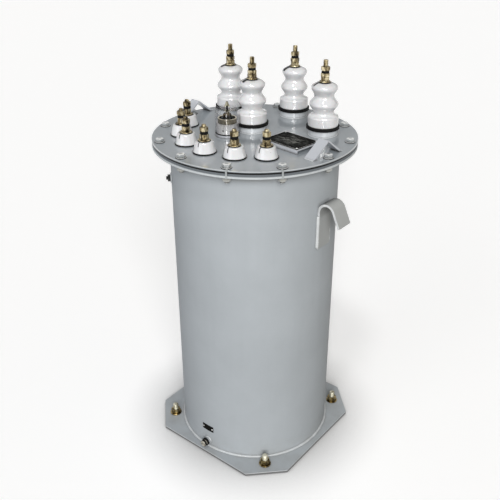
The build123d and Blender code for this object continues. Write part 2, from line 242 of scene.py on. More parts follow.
def bead(path, radius, seed, ripple, closed=False):
    """Weld bead: a rippled round run along a path, half sunk in the plates that it joins."""
    steps_per_ripple, least_steps, sides = 3, 8, 10
    ripple_share, slow_shares, slow_rates, jitter = 0.16, (0.07, 0.05), (90, 230), 0.03
    draw = random.Random(seed)
    path = [Vector(p) for p in path]
    lengths = [0.0]
    for a, b in zip(path, path[1:] + path[:1]):
        lengths.append(lengths[-1] + (b - a).length)
    total = lengths[-1] if closed else lengths[-2]
    count = max(least_steps, int(total / (ripple / steps_per_ripple)))
    wander = [draw.uniform(0, 6.3) for _ in range(3)]
    turn = [2 * math.pi * j / sides for j in range(sides)]
    rings = []
    for i in range(count if closed else count + 1):
        s = total * i / count
        k = max(0, min(len(path) - 1, np.searchsorted(lengths, s, side="right") - 1))
        a, b = path[k], path[(k + 1) % len(path)]
        span = (b - a).length or 1.0
        centre = a.lerp(b, min(1.0, (s - lengths[k]) / span))
        ahead = (b - a).normalized()
        side = ahead.cross(Vector((0, 0, 1)) if abs(ahead.z) < 0.9 else Vector((1, 0, 0))).normalized()
        up = side.cross(ahead)
        wave = abs(math.sin(math.pi * s / ripple)) * ripple_share
        slow = (slow_shares[0] * math.sin(s * slow_rates[0] + wander[0])
                + slow_shares[1] * math.sin(s * slow_rates[1] + wander[1]))
        end = 1.0 if closed else min(1.0, 0.45 + min(s, total - s) / (1.5 * radius))  # thinner at both ends
        r = radius * (0.9 + wave + slow + draw.uniform(-jitter, jitter)) * end
        rings.append([centre + side * (r * math.cos(t)) + up * (r * math.sin(t)) for t in turn])
    return skin(rings, loop=closed)


def ribbon(path, width, thick, edge=0.3 * MM):
    """Flat strip along a path of (outwards, up) points, lying on that path, with local -Y as outwards."""
    path = np.asarray(path, float)
    steps = np.diff(path, axis=0)
    steps = steps / np.linalg.norm(steps, axis=1)[:, None]
    normals = np.stack([-steps[:, 1], steps[:, 0]], 1)
    mitres = np.concatenate([normals[:1], normals[:-1] + normals[1:], normals[-1:]])
    mitres = mitres / np.linalg.norm(mitres, axis=1)[:, None]
    stretch = np.concatenate([[1.0], 1 / np.sum(mitres[1:-1] * normals[1:], axis=1), [1.0]])
    half = width / 2
    section = [
        (edge - half, 0), (half - edge, 0), (half, edge), (half, thick - edge),
        (half - edge, thick), (edge - half, thick), (-half, thick - edge), (-half, edge),
    ]
    rings = []
    for (out, up), normal in zip(path, mitres * stretch[:, None]):
        rings.append([(x, -(out + normal[0] * rise), up + normal[1] * rise) for x, rise in section])
    return skin(rings)


def slab(outline, thick, edge):
    """Plate of an outline of (x, z) points that stands across local Y, with turned edges."""
    outline = np.asarray(outline, float)
    away = outline - outline.mean(0)
    away = away / np.linalg.norm(away, axis=1)[:, None]
    rings = []
    for y, inset in ((-thick / 2, edge), (edge - thick / 2, 0.0), (thick / 2 - edge, 0.0), (thick / 2, edge)):
        flat = outline - away * inset
        rings.append(np.stack([flat[:, 0], np.full(len(flat), y), flat[:, 1]], 1))
    return skin(rings)


def rivet(radius, height):
    """Domed rivet head whose foot is sunk a little."""
    dome = [(radius * math.cos(t), height * math.sin(t)) for t in np.linspace(0, math.pi / 2, 7)[:-1]]
    return turned([(radius, -0.5 * MM)] + dome + [(radius * 0.1, height)], 20)


def circle(radius, z, count):
    return [(radius * math.cos(a), radius * math.sin(a), z) for a in full_turn(count)]


class Nodes:
    """Short calls for building a node tree. A value is a number, a colour or another node's output."""

    def __init__(self, tree):
        self.tree = tree
        self.coordinates = self.new("ShaderNodeTexCoord").outputs
        self.place = self.coordinates["Object"]

    def new(self, kind, **values):
        node = self.tree.nodes.new(kind)
        for key, value in values.items():
            setattr(node, key, value)
        return node

    def join(self, a, b):
        self.tree.links.new(a, b)

    def feed(self, socket, value):
        if isinstance(value, (int, float)):
            socket.default_value = value
        elif isinstance(value, tuple):
            socket.default_value = (*value, 1)
        else:
            self.join(value, socket)

    def stretched(self, x, y, z):
        node = self.new("ShaderNodeMapping")
        node.inputs["Scale"].default_value = (x, y, z)
        self.join(self.place, node.inputs["Vector"])
        return node.outputs["Vector"]

    def noise(self, scale, detail=4.0, rough=0.55, at=None):
        node = self.new("ShaderNodeTexNoise")
        node.inputs["Scale"].default_value = scale
        node.inputs["Detail"].default_value = detail
        node.inputs["Roughness"].default_value = rough
        self.join(at or self.place, node.inputs["Vector"])
        return node.outputs["Fac"]

    def axis(self, vector, name):
        """One coordinate of a vector."""
        node = self.new("ShaderNodeSeparateXYZ")
        self.join(vector, node.inputs["Vector"])
        return node.outputs[name]

    def openness(self, reach, samples):
        """1 in the open, and less where other surfaces crowd round a point within the reach."""
        node = self.new("ShaderNodeAmbientOcclusion", samples=samples)
        node.inputs["Distance"].default_value = reach
        return node.outputs["AO"]

    def crevice(self, reach, low=0.45, high=0.9):
        """1 where other surfaces crowd round a point within the reach, 0 in the open."""
        return self.ramp(self.openness(reach, 6), (low, 1.0), (high, 0.0))

    def rise(self, value, start, end):
        """0 up to the start, 1 from the end on."""
        node = self.new("ShaderNodeMapRange")
        node.inputs["From Min"].default_value = start
        node.inputs["From Max"].default_value = end
        self.join(value, node.inputs["Value"])
        return node.outputs["Result"]

    def band(self, value, low, high, soft):
        """1 between two values and 0 outside them, with soft ends."""
        return self.math("SUBTRACT", self.rise(value, low - soft, low), self.rise(value, high, high + soft))

    def ramp(self, fac, *stops):
        """Colour ramp of (position, value) stops."""
        node = self.new("ShaderNodeValToRGB")
        ramp = node.color_ramp
        for i, (position, value) in enumerate(stops):
            element = ramp.elements[i] if i < 2 else ramp.elements.new(position)
            element.position = position
            colour = value if isinstance(value, tuple) else (value, value, value)
            element.color = (*colour, 1)
        self.join(fac, node.inputs["Fac"])
        return node.outputs["Color"]

    def math(self, operation, *values, clamp=False):
        node = self.new("ShaderNodeMath", operation=operation, use_clamp=clamp)
        for socket, value in zip(node.inputs, values):
            self.feed(socket, value)
        return node.outputs[0]

    def added(self, value, mask, amount):
        """A value with an amount added where the mask is high."""
        return self.math("ADD", self.math("MULTIPLY", mask, amount), value)

    def mix(self, fac, a, b, blend="MIX"):
        node = self.new("ShaderNodeMix", data_type="RGBA", blend_type=blend)
        colours = {s.name: s for s in node.inputs if s.type == "RGBA"}
        self.feed(node.inputs["Factor"], fac)
        self.feed(colours["A"], a)
        self.feed(colours["B"], b)
        return next(s for s in node.outputs if s.type == "RGBA")

    def over(self, base, colour, *masks):
        """Lays a colour over a base, by the product of the masks."""
        share = masks[0]
        for mask in masks[1:]:
            share = self.math("MULTIPLY", share, mask)
        return self.mix(share, base, colour)

    def bump(self, height, strength, distance, normal=None):
        node = self.new("ShaderNodeBump")
        node.inputs["Strength"].default_value = strength
        node.inputs["Distance"].default_value = distance
        self.join(height, node.inputs["Height"])
        if normal is not None:
            self.join(normal, node.inputs["Normal"])
        return node.outputs["Normal"]

    def set(self, **sockets):
        """Sets inputs of the principled shader."""
        shader = self.tree.nodes["Principled BSDF"]
        for key, value in sockets.items():
            self.feed(shader.inputs[key.replace("_", " ")], value)

    def surface(self, shader):
        """Puts another shader in the principled one's place."""
        nodes = self.tree.nodes
        nodes.remove(nodes["Principled BSDF"])
        self.join(shader.outputs[0], nodes["Material Output"].inputs["Surface"])


def material(name):
    """New material, and the calls that build its nodes."""
    made = bpy.data.materials.new(name)
    made.use_nodes = True
    return made, Nodes(made.node_tree)


def scaled(colour, factor):
    return tuple(c * factor for c in colour)


# Paint: its tone by height in metres, which is painted light, lighter towards the flange and darker towards the foot,
# and the colours of what lies on it or shows through it, among them painted shade and painted highlights
height_light = ((0.0, 0.93), (0.40, 0.98), (0.70, 1.03), (0.85, 1.14), (0.886, 1.14), (0.888, 1.0))
speck_colour = (0.75, 0.76, 0.76)
foot_dust = (0.26, 0.25, 0.23)
flange_stain_and_shade = (0.31, 0.29, 0.24)
crevice_soil_and_shade = (0.060, 0.056, 0.050)
recess_shade = (0.060, 0.070, 0.080)
joint_shade = (0.014, 0.016, 0.018)
edge_highlight = (0.62, 0.65, 0.66)
crown_highlight = (0.80, 0.81, 0.80)
lug_side_highlight = (0.70, 0.715, 0.72)
base_side_shade = (0.11, 0.105, 0.10)
base_edge_highlight = (0.70, 0.72, 0.73)


def joint_shade_and_highlights(n, base, z):
    """Painted shade in the joint between lid and flange and on the flange's upper face, and painted highlights along
    the edges above and below it, broken into patches by noise.
    """
    soft, shade_start = 0.4 * MM, lid_bottom - 4 * MM
    recess = n.band(z, flange_bottom + 5.9 * MM, shade_start, soft)
    base = n.over(base, recess_shade, recess, 0.72)
    shade = n.band(z, shade_start, lid_bottom + 1.2 * MM, soft)
    base = n.over(base, joint_shade, shade, 0.94)
    squares = [n.math("POWER", n.math("ABSOLUTE", n.axis(n.place, name)), 2.0) for name in "XY"]
    rim = n.rise(n.math("SQRT", n.math("ADD", *squares)), lid_r - 2.0 * MM, lid_r - 0.8 * MM)
    lip = n.band(z, flange_bottom + 1.0 * MM, flange_bottom + 5.6 * MM, 0.3 * MM)
    edge = n.rise(z, lid_top - 1.6 * MM, lid_top - 1.0 * MM)
    speckle = n.ramp(n.noise(60.0, 4.0), (0.30, 0.50), (0.55, 0.95))
    return n.over(base, edge_highlight, rim, n.math("ADD", lip, edge), speckle)


def base_edges(n, base, z):
    """Painted shade on the side of the base plate, with a painted highlight along its upper edge."""
    side = n.math("SUBTRACT", 1.0, n.rise(z, base_top - 2.4 * MM, base_top - 1.8 * MM))
    base = n.over(base, base_side_shade, side, 0.75)
    line = n.band(z, base_top - 1.6 * MM, base_top - 0.15 * MM, 0.1 * MM)
    return n.over(base, base_edge_highlight, line, 0.8)


def painted_crown_highlights(n, base, z):
    """Painted highlight on the slopes of the bolt heads' crowns."""
    slope = n.band(n.axis(n.coordinates["Normal"], "Z"), 0.62, 0.985, 0.012)
    return n.over(base, crown_highlight, slope, 0.85)


def painted_lug_side_highlights(n, base, z):
    """Painted highlight on the flat sides of the lifting lugs, which face along Y, in patches."""
    side = n.ramp(n.math("ABSOLUTE", n.axis(n.coordinates["Normal"], "Y")), (0.93, 0.0), (0.99, 1.0))
    patchy = n.ramp(n.noise(90.0, 4.0), (0.30, 0.45), (0.60, 0.95))
    return n.over(base, lug_side_highlight, side, patchy)


def paint(name, colour, rough, gloss=0.0, shine=0.4, reach=9 * MM, shade_and_soil=0.8, film=0.08, speckle=0.25, painted_light=None):
    """Sprayed semi-gloss paint on steel plate: orange peel, faint clouding, dust, scuffs, darkening in the joints that
    is partly soiling and partly painted shade, and painted light by height.

    The shade and soil lie where surfaces meet within the reach, the speckle is the share of light specks, the film is
    the roughness of the glossy coat, and the painted light is one of the functions above, which paint shade and
    highlights.
    """
    mat, n = material(name)
    z = n.axis(n.place, "Z")
    base = n.ramp(n.noise(5.0, 5.0, 0.6), (0.30, scaled(colour, 0.94)), (0.70, scaled(colour, 1.05)))
    runs = n.noise(2.0, 3.0, 0.5, at=n.stretched(26, 26, 1.6))
    base = n.over(base, scaled(colour, 0.82), n.ramp(runs, (0.50, 0.0), (0.80, 0.12)))
    specks = n.noise(900.0, 1.0, 0.4)
    base = n.over(base, speck_colour, n.ramp(specks, (0.70, 0.0), (0.80, speckle)))
    # Painted light: the tone grows lighter from the foot up to the flange.
    base = n.mix(1.0, base, n.ramp(z, *height_light), "MULTIPLY")
    foot = n.ramp(z, (0.0, 0.30), (0.075, 0.0))
    patch = n.ramp(n.noise(16.0, 6.0, 0.65), (0.42, 0.0), (0.66, 1.0))
    base = n.over(base, foot_dust, foot, patch)
    # A brownish band under the flange: partly stain and partly painted shade under the lid's overhang.
    under = n.math("SUBTRACT", n.rise(z, flange_bottom - 26 * MM, flange_bottom),
                   n.rise(z, flange_bottom, flange_bottom + 0.3 * MM))
    mottle = n.ramp(n.noise(30.0, 4.0), (0.3, 0.5), (0.6, 1.0))
    base = n.over(base, flange_stain_and_shade, under, 0.8, mottle)
    # Painted shade, with some soiling: darker where other surfaces crowd round within the reach.
    base = n.over(base, crevice_soil_and_shade, n.crevice(reach, 0.55, 0.98), shade_and_soil)
    # Painted shade and painted highlights, laid on by one of the functions above.
    if painted_light:
        base = painted_light(n, base, z)
    rub = n.ramp(n.noise(38.0, 8.0, 0.7), (0.60, 0.0), (0.74, 1.0))
    roughness = n.added(n.added(rough, rub, 0.12), n.noise(11.0), 0.10)
    peel = n.bump(n.noise(150.0, 3.0, 0.5), 0.10, 0.6 * MM)
    wavy = n.bump(n.noise(9.0, 2.0, 0.5), 0.14, 6 * MM, peel)
    fine = n.bump(n.noise(340.0, 2.0, 0.5), 0.05, 0.3 * MM, wavy)
    n.set(Base_Color=base, Roughness=roughness, Normal=fine)
    n.set(Coat_Weight=gloss, Coat_Roughness=film, Coat_IOR=1.6, Specular_IOR_Level=shine)
    return mat


def porcelain():
    """White glaze over porcelain, with faint flow marks, a few pinholes, and darkening where it meets its fittings that
    is partly soiling and partly painted shade.
    """
    mat, n = material("porcelain_glaze")
    cool_white, clean_white = (0.655, 0.658, 0.67), (0.72, 0.722, 0.73)
    pinhole, soil_and_shade = (0.30, 0.22, 0.15), (0.16, 0.15, 0.13)
    base = n.ramp(n.noise(24.0, 4.0), (0.35, cool_white), (0.68, clean_white))
    base = n.over(base, pinhole, n.ramp(n.noise(420.0, 1.0, 0.3), (0.235, 1.0), (0.25, 0.0)), 0.55)
    # Painted shade, with some soiling, where other surfaces crowd round.
    base = n.over(base, soil_and_shade, n.crevice(6 * MM), 0.55)
    rough = n.ramp(n.noise(60.0, 3.0), (0.4, 0.07), (0.75, 0.17))
    flow = n.bump(n.noise(14.0, 3.0, 0.5, at=n.stretched(6, 6, 1)), 0.16, 1.4 * MM)
    n.set(Base_Color=base, Roughness=rough, Normal=n.bump(n.noise(320.0, 2.0), 0.03, 0.3 * MM, flow))
    n.set(Coat_Weight=1.0, Coat_Roughness=0.04, Coat_IOR=1.6, Subsurface_Weight=0.05, Subsurface_Scale=0.004)
    return mat


def metal(name, light, mid, dark, rough, grain=(1, 1, 1), cut=(0.40, 0.52, 0.66), soil_and_shade=0.8, coat=0.0, scale=70.0,
          metallic=1.0):
    """Bare or plated metal: patches of tarnish between three tones, darkening in the joints that is partly soiling and
    partly painted shade, and uneven shine.

    The cut says where in the noise the dark, mid and light tones lie, and the grain stretches the surface marks.
    """
    mat, n = material(name)
    tone = n.noise(scale, 6.0, 0.66, at=n.stretched(1, 1, 0.45))
    base = n.ramp(tone, (cut[0], dark), (cut[2], light), (cut[1], mid))
    base = n.over(base, scaled(dark, 0.6), n.ramp(n.noise(420.0, 3.0), (0.56, 0.0), (0.74, 0.5)))
    # Painted shade, with some soiling, where other surfaces crowd round.
    base = n.over(base, scaled(dark, 0.35), n.crevice(5 * MM), soil_and_shade)
    marks = n.noise(260.0, 4.0, 0.6, at=n.stretched(*grain))
    roughness = n.added(rough, n.noise(130.0, 4.0), 0.20)
    n.set(Base_Color=base, Roughness=roughness, Normal=n.bump(marks, 0.16, 0.25 * MM))
    n.set(Metallic=metallic, Coat_Weight=coat, Coat_Roughness=0.12)
    return mat


def rubber(name, dusty):
    """Black rubber with a film of dust."""
    mat, n = material(name)
    black, dust = (0.006, 0.006, 0.006), (0.045, 0.045, 0.043)
    base = n.over(black, dust, n.ramp(n.noise(70.0, 6.0, 0.65), (0.50, 0.0), (0.78, dusty)))
    rough = n.ramp(n.noise(160.0, 3.0), (0.3, 0.50), (0.7, 0.72))
    n.set(Base_Color=base, Roughness=rough, Normal=n.bump(n.noise(500.0, 3.0), 0.2, 0.3 * MM))
    n.set(Specular_IOR_Level=0.12)
    return mat


def enamel():
    """Near-black enamel on a thin plate, worn to grey about the nameplate's middle and along fine scratches."""
    mat, n = material("black_enamel")
    black, worn_film, scratch = (0.005, 0.005, 0.0045), (0.175, 0.178, 0.165), (0.24, 0.24, 0.225)
    centre = middle("nameplate")
    local = n.new("ShaderNodeMapping", vector_type="TEXTURE")
    local.inputs["Location"].default_value = (centre.x, centre.y, 0)
    local.inputs["Rotation"].default_value = (0, 0, math.radians(plate_turn))
    local.inputs["Scale"].default_value = (56 * MM, 41 * MM, 10)
    n.join(n.place, local.inputs["Vector"])
    reach = n.new("ShaderNodeVectorMath", operation="LENGTH")
    n.join(local.outputs["Vector"], reach.inputs[0])
    uneven = n.added(reach.outputs["Value"], n.noise(30.0, 4.0), 0.9)
    area = n.ramp(n.rise(uneven, 0.75, 1.35), (0.0, 1.0), (1.0, 0.0))
    film = n.ramp(n.noise(95.0, 6.0, 0.7, at=n.stretched(0.6, 1.4, 1)), (0.47, 0.0), (0.57, 1.0))
    base = n.over(black, worn_film, area, film)
    scratches = n.noise(170.0, 5.0, 0.7, at=n.stretched(0.5, 1.6, 1))
    base = n.over(base, scratch, n.ramp(scratches, (0.63, 0.0), (0.67, 0.7)))
    rough = n.ramp(n.noise(90.0, 5.0), (0.35, 0.55), (0.7, 0.75))
    n.set(Base_Color=base, Roughness=rough, Normal=n.bump(n.noise(220.0, 4.0), 0.12, 0.25 * MM))
    n.set(Specular_IOR_Level=0.04)
    return mat


def clear():
    """Thin clear moulded plastic: lets light straight through and shines at its edges, with faint streaks."""
    mat, n = material("clear_cover")
    streaks = n.noise(3.0, 4.0, 0.6, at=n.stretched(30, 30, 3))
    tint = n.ramp(streaks, (0.35, (0.965, 0.963, 0.972)), (0.60, (0.996, 0.996, 0.997)))
    rough = n.ramp(n.noise(80.0, 4.0), (0.45, 0.03), (0.8, 0.14))
    normal = n.bump(n.noise(18.0, 2.0), 0.10, 1.0 * MM)
    through = n.new("ShaderNodeBsdfTransparent")
    n.join(tint, through.inputs["Color"])
    shine = n.new("ShaderNodeBsdfAnisotropic")
    n.join(rough, shine.inputs["Roughness"])
    n.join(normal, shine.inputs["Normal"])
    edge = n.new("ShaderNodeLayerWeight")
    edge.inputs["Blend"].default_value = 0.5
    n.join(normal, edge.inputs["Normal"])
    both = n.new("ShaderNodeMixShader")
    n.join(n.ramp(edge.outputs["Facing"], (0.45, 0.05), (1.0, 0.72), (0.78, 0.24)), both.inputs["Fac"])
    n.join(through.outputs[0], both.inputs[1])
    n.join(shine.outputs[0], both.inputs[2])
    n.surface(both)
    return mat


grey = (0.425, 0.455, 0.478)
tank_paint = paint("tank_paint", grey, 0.50, shine=0.10, shade_and_soil=0.30, painted_light=joint_shade_and_highlights)
base_paint = paint("base_paint", scaled(grey, 1.02), 0.42, shine=0.25, shade_and_soil=0.25, painted_light=base_edges)
lid_paint = paint("lid_paint", (0.338, 0.370, 0.396), 0.28, gloss=1.0, reach=5 * MM, film=0.15, painted_light=joint_shade_and_highlights)
# A lighter copy of the grey for the brackets, switch seat and nameplate holder: painted highlight on their lit faces
# and edges.
fitting_paint = paint("fitting_paint", (0.50, 0.52, 0.555), 0.28, gloss=0.6, reach=6 * MM)
# Painted shade: the long reach darkens the lugs' inner faces where the hooks shade them.
lug_paint = paint("lug_paint", (0.375, 0.385, 0.380), 0.45, shine=0.15, reach=42 * MM, shade_and_soil=0.62, painted_light=painted_lug_side_highlights)
# A lighter copy of the grey for the collars: painted highlight.
collar_paint = paint("collar_paint", (0.60, 0.625, 0.65), 0.24, gloss=1.0, reach=5 * MM)
# On the bolt heads the many light specks are partly painted glints.
bolt_paint = paint("bolt_paint", (0.31, 0.33, 0.335), 0.24, gloss=1.0, reach=4 * MM, film=0.12, speckle=0.9,
                   painted_light=painted_crown_highlights)
nut_paint = paint("nut_paint", (0.46, 0.48, 0.475), 0.28, gloss=0.6, reach=6 * MM, film=0.12, speckle=0.9)
strap_paint = paint("strap_paint", (0.36, 0.38, 0.385), 0.34, gloss=0.3, reach=3 * MM, shade_and_soil=0.3)
# A lighter copy of the grey for the beads: painted highlight along them.
weld_paint = paint("weld_paint", (0.54, 0.565, 0.58), 0.32, gloss=0.4, reach=3 * MM, shade_and_soil=0.2)
rough_weld = paint("rough_weld", (0.62, 0.64, 0.64), 0.36, gloss=0.2, reach=2 * MM, shade_and_soil=0.35)
glaze = porcelain()
brass = metal("terminal_brass", (0.80, 0.71, 0.48), (0.34, 0.27, 0.145), (0.030, 0.021, 0.010), 0.27, coat=0.2,
              cut=(0.40, 0.50, 0.62), scale=110.0)
bronze = metal("dark_bronze", (0.26, 0.21, 0.13), (0.075, 0.055, 0.032), (0.015, 0.011, 0.007), 0.30, coat=0.3,
               scale=120.0)
ring_brass = metal("ring_brass", (0.70, 0.66, 0.54), (0.40, 0.36, 0.26), (0.17, 0.145, 0.09), 0.22, coat=0.3, soil_and_shade=0.9,
                   metallic=0.7)
# A bright rim on the switch ring's top: painted highlight.
rim_highlight_brass = metal("rim_highlight_brass", (0.95, 0.90, 0.74), (0.84, 0.78, 0.60), (0.55, 0.48, 0.33), 0.24, coat=0.4, soil_and_shade=0.2,
                  metallic=0.25)
zinc = metal("yellow_zinc", (0.75, 0.62, 0.36), (0.32, 0.24, 0.10), (0.050, 0.034, 0.012), 0.26, coat=0.2, scale=90.0)
pale_zinc = metal("pale_zinc", (0.76, 0.74, 0.62), (0.52, 0.50, 0.39), (0.20, 0.18, 0.12), 0.30, soil_and_shade=0.3, metallic=0.5)
alloy = metal("turned_alloy", (0.97, 0.97, 0.96), (0.90, 0.90, 0.89), (0.58, 0.57, 0.56), 0.20, grain=(1, 1, 14),
              soil_and_shade=0.4, metallic=0.35)
steel = metal("plain_steel", (0.90, 0.90, 0.89), (0.62, 0.62, 0.61), (0.25, 0.24, 0.23), 0.24)
plug_steel = metal("plug_steel", (0.66, 0.63, 0.55), (0.42, 0.40, 0.34), (0.12, 0.10, 0.07), 0.35, soil_and_shade=0.5,
                   metallic=0.3)
dark_steel = metal("dark_steel", (0.10, 0.10, 0.10), (0.045, 0.045, 0.045), (0.015, 0.015, 0.015), 0.30, coat=0.4)
rubber_black = rubber("black_rubber_dusty", 0.25)
rubber_clean = rubber("black_rubber_clean", 0.05)
plate_enamel = enamel()
clear_plastic = clear()


def dress(mat, *nodes):
    """Gives CAD nodes a material."""
    for name in nodes:
        obj = frame["nodes"][name]
        obj.data.materials.clear()
        obj.data.materials.append(mat)


def rounded(width, *nodes):
    """Takes the knife edge off CAD nodes with a small bevel modifier."""
    for name in nodes:
        bevel = frame["nodes"][name].modifiers.new("edge", "BEVEL")
        bevel.width = width
        bevel.segments = 2
        bevel.limit_method = "ANGLE"
        bevel.angle_limit = math.radians(50)


dress(tank_paint, "tank_shell", "tank_flange", "earth_boss", "drain_boss", "base_weld")
dress(base_paint, "base_plate")
dress(lug_paint, "lifting_lug_1", "lifting_lug_2")
dress(lid_paint, "lid")
dress(collar_paint, "hv_seats")
dress(strap_paint, "bonding_straps")
dress(fitting_paint, "switch_seat", "nameplate_holder", "lid_bracket_1", "lid_bracket_2")
dress(rubber_black, "hv_gaskets", "lv_gaskets", "switch_gasket", "drain_seal")
# On the spacers the near-black is painted shade: they fill the shaded gap between the nuts.
dress(rubber_clean, "lid_gasket", "hv_spacers", "lv_spacers")
dress(glaze, *[f"hv_bushing_{i}" for i in hv_numbers], *[f"lv_bushing_{i}" for i in lv_numbers])
dress(brass, *[f"hv_terminal_{i}" for i in hv_numbers], *[f"lv_terminal_{i}" for i in lv_numbers])
dress(ring_brass, "switch_ring")
dress(bronze, "switch_spindle", "switch_wing_nut")
dress(zinc, "base_studs", "base_washers")
dress(dark_steel, "earth_stud", "drain_plug")
dress(alloy, "switch_body")
dress(clear_plastic, "switch_cover")
dress(plate_enamel, "nameplate", "drain_label")
rounded(0.6 * MM, "base_plate", "lid", "lid_bracket_1", "lid_bracket_2", "nameplate_holder", "switch_ring", "hv_seats")
rounded(0.8 * MM, "lifting_lug_1", "lifting_lug_2", "switch_body")


def lid_bolts():
    """Hexagon head and washer on the lid, with a dark ring round the washer's foot as painted shade, and nut, washer
    and stud end under the flange, at each bolt.
    """
    head_af, head_h, crown = 18 * MM, 7.5 * MM, 1.2 * MM
    washer_r, washer_t = 12 * MM, 2 * MM
    shade_ring_r, seal_sunk, seal_top = washer_r + 0.9 * MM, -0.2 * MM, 0.7 * MM
    shank_r, nut_h, tail = 6 * MM, 10 * MM, 5 * MM
    heads, nuts, seats = Shape(), Shape(), Shape()
    for azimuth in lid_bolt_azimuths:
        at = around(azimuth, lid_bolt_circle)
        twist = turn_z(chance.uniform(0, 60))
        top = at @ Matrix.Translation((0, 0, lid_top)) @ twist
        # Painted shade: a black ring just wider than the washer.
        seats.add(washer(shade_ring_r, shank_r, seal_sunk, seal_top, edge=0.2 * MM), top)
        heads.add(washer(washer_r, shank_r, seal_top, washer_t), top)
        heads.add(hexagon(head_af, washer_t, washer_t + head_h, crown=crown), top)
        under = at @ Matrix.Translation((0, 0, flange_bottom)) @ Matrix.Rotation(math.pi, 4, "X") @ twist
        nuts.add(washer(washer_r, shank_r, 0, washer_t), under)
        nuts.add(hexagon(head_af, washer_t, washer_t + nut_h, bore=shank_r), under)
        nuts.add(threaded(shank_r, washer_t, washer_t + nut_h + tail, coarse_pitch, sides=24), under)
    heads.piece("lid_bolt_heads", bolt_paint, "tank_paint")
    nuts.piece("lid_bolt_nuts", nut_paint, "tank_paint")
    seats.piece("lid_bolt_shade_rings", rubber_clean, "black_rubber")


def straps():
    """Bonding straps: from under a bolt's washer out over the lid's edge and down across the joint."""
    shape = Shape()
    width, thick = 4.6 * MM, 1.4 * MM
    inner, edge = lid_bolt_circle - 4 * MM, lid_r + 0.3 * MM
    path = [(inner, lid_top), (edge, lid_top), (edge, flange_bottom)]
    for azimuth in strap_azimuths:
        shape.add(ribbon(path, width, thick), around(azimuth, 0))
    shape.piece("strap_bends", strap_paint, "tank_paint", ["bonding_straps"])


# Radii, heights and widths across flats in mm. The gap is the bare stud below the top nut, and the dome says how
# round the stud's end is
TERMINALS = {
    "hv": dict(count=4, stud=6.2, washer=14.0, washer_t=5.0, af=20.0, nuts=(9.25, 9.25), gap=6.0, top=9.5, dome=0.0),
    "lv": dict(count=6, stud=6.0, washer=15.5, washer_t=3.5, af=19.0, nuts=(13.0,), gap=7.0, top=10.0, dome=0.8),
}


def terminals():
    """Each terminal: dished washer, nuts with turned corners and a threaded stud, in place of its plain solid."""
    seal_sunk, seal_top, seal_proud = -0.3 * MM, 1.3 * MM, 0.3 * MM
    seals = Shape()
    for kind, size in TERMINALS.items():
        stud_r, washer_r, flats = size["stud"] * MM, size["washer"] * MM, size["af"] * MM
        for i in range(1, size["count"] + 1):
            node = f"{kind}_terminal_{i}"
            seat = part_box(f"{kind}_bushing_{i}")[1].z
            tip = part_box(node)[1].z - seat
            at = spot(node, seat)
            seals.add(washer(washer_r + seal_proud, stud_r, seal_sunk, seal_top, edge=0.3 * MM), at)
            shape = Shape()
            z = size["washer_t"] * MM
            shape.add(dished(washer_r, stud_r, seal_top, z), at)
            for height in size["nuts"]:
                shape.add(hexagon(flats, z, z + height * MM, bore=stud_r), at @ turn_z(chance.uniform(0, 60)))
                z += height * MM
            z += size["gap"] * MM
            shape.add(hexagon(flats, z, z + size["top"] * MM, bore=stud_r), at @ turn_z(chance.uniform(0, 60)))
            end = 3 * MM if size["dome"] else 1.5 * MM
            shape.add(threaded(stud_r, 0, tip, coarse_pitch, dome=size["dome"], tip=end), at)
            shape.piece(f"{kind}_terminal_stack_{i}", brass, "terminal_brass", [node])
    seals.piece("terminal_seals", rubber_clean, "black_rubber")


def shoulder_tabs():
    """Small locking tabs bent down over each porcelain's shoulder from under the washer."""
    tabs = Shape()
    under_washer, path_up, proud = 3 * MM, 0.5 * MM, 0.3 * MM
    # The thin lv strips are partly tabs and partly painted shade, standing for the dark line along each tab.
    # Kind, number, reach, width and thickness in mm, and degrees from the camera's azimuth
    sizes = (
        ("hv", 1, 3, 5.0, 2.0, 66), ("hv", 2, 8, 5.5, 2.2, 64), ("hv", 3, 4, 5.0, 2.4, 52), ("hv", 4, 6, 3.0, 1.2, 66),
        ("lv", 3, 10, 1.5, 0.9, 40), ("lv", 4, 10, 1.5, 0.9, 34), ("lv", 5, 12, 1.5, 0.9, 40), ("lv", 6, 12, 2.0, 0.9, 46),
    )
    for kind, number, reach, width, thick, aside in sizes:
        reach, width, thick = reach * MM, width * MM, thick * MM
        node = frame["nodes"][f"{kind}_bushing_1"]
        centre = middle(f"{kind}_bushing_1")
        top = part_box(f"{kind}_bushing_1")[1].z
        heights = np.round([v.co.z - top for v in node.data.vertices], 5)
        radii = [math.hypot(v.co.x - centre.x, v.co.y - centre.y) for v in node.data.vertices]
        outer = {}  # the porcelain's outermost radius at each height
        for z, r in zip(heights, radii):
            if z > -reach - 1 * MM:
                outer[z] = max(r, outer.get(z, 0))
        levels = sorted(outer)
        washer_r = TERMINALS[kind]["washer"] * MM
        path = [(washer_r - under_washer, path_up), (max(washer_r, outer[levels[-1]]), path_up)]
        for z in np.linspace(-0.2 * reach, -reach, 5):
            path.append((np.interp(z, levels, [outer[k] for k in levels]) + proud, z + proud))
        at = spot(f"{kind}_bushing_{number}", top) @ turn_z(view_azimuth - aside)
        tabs.add(ribbon(path, width, thick), at)
    tabs.piece("shoulder_tabs", dark_steel, "zinc_fixings")


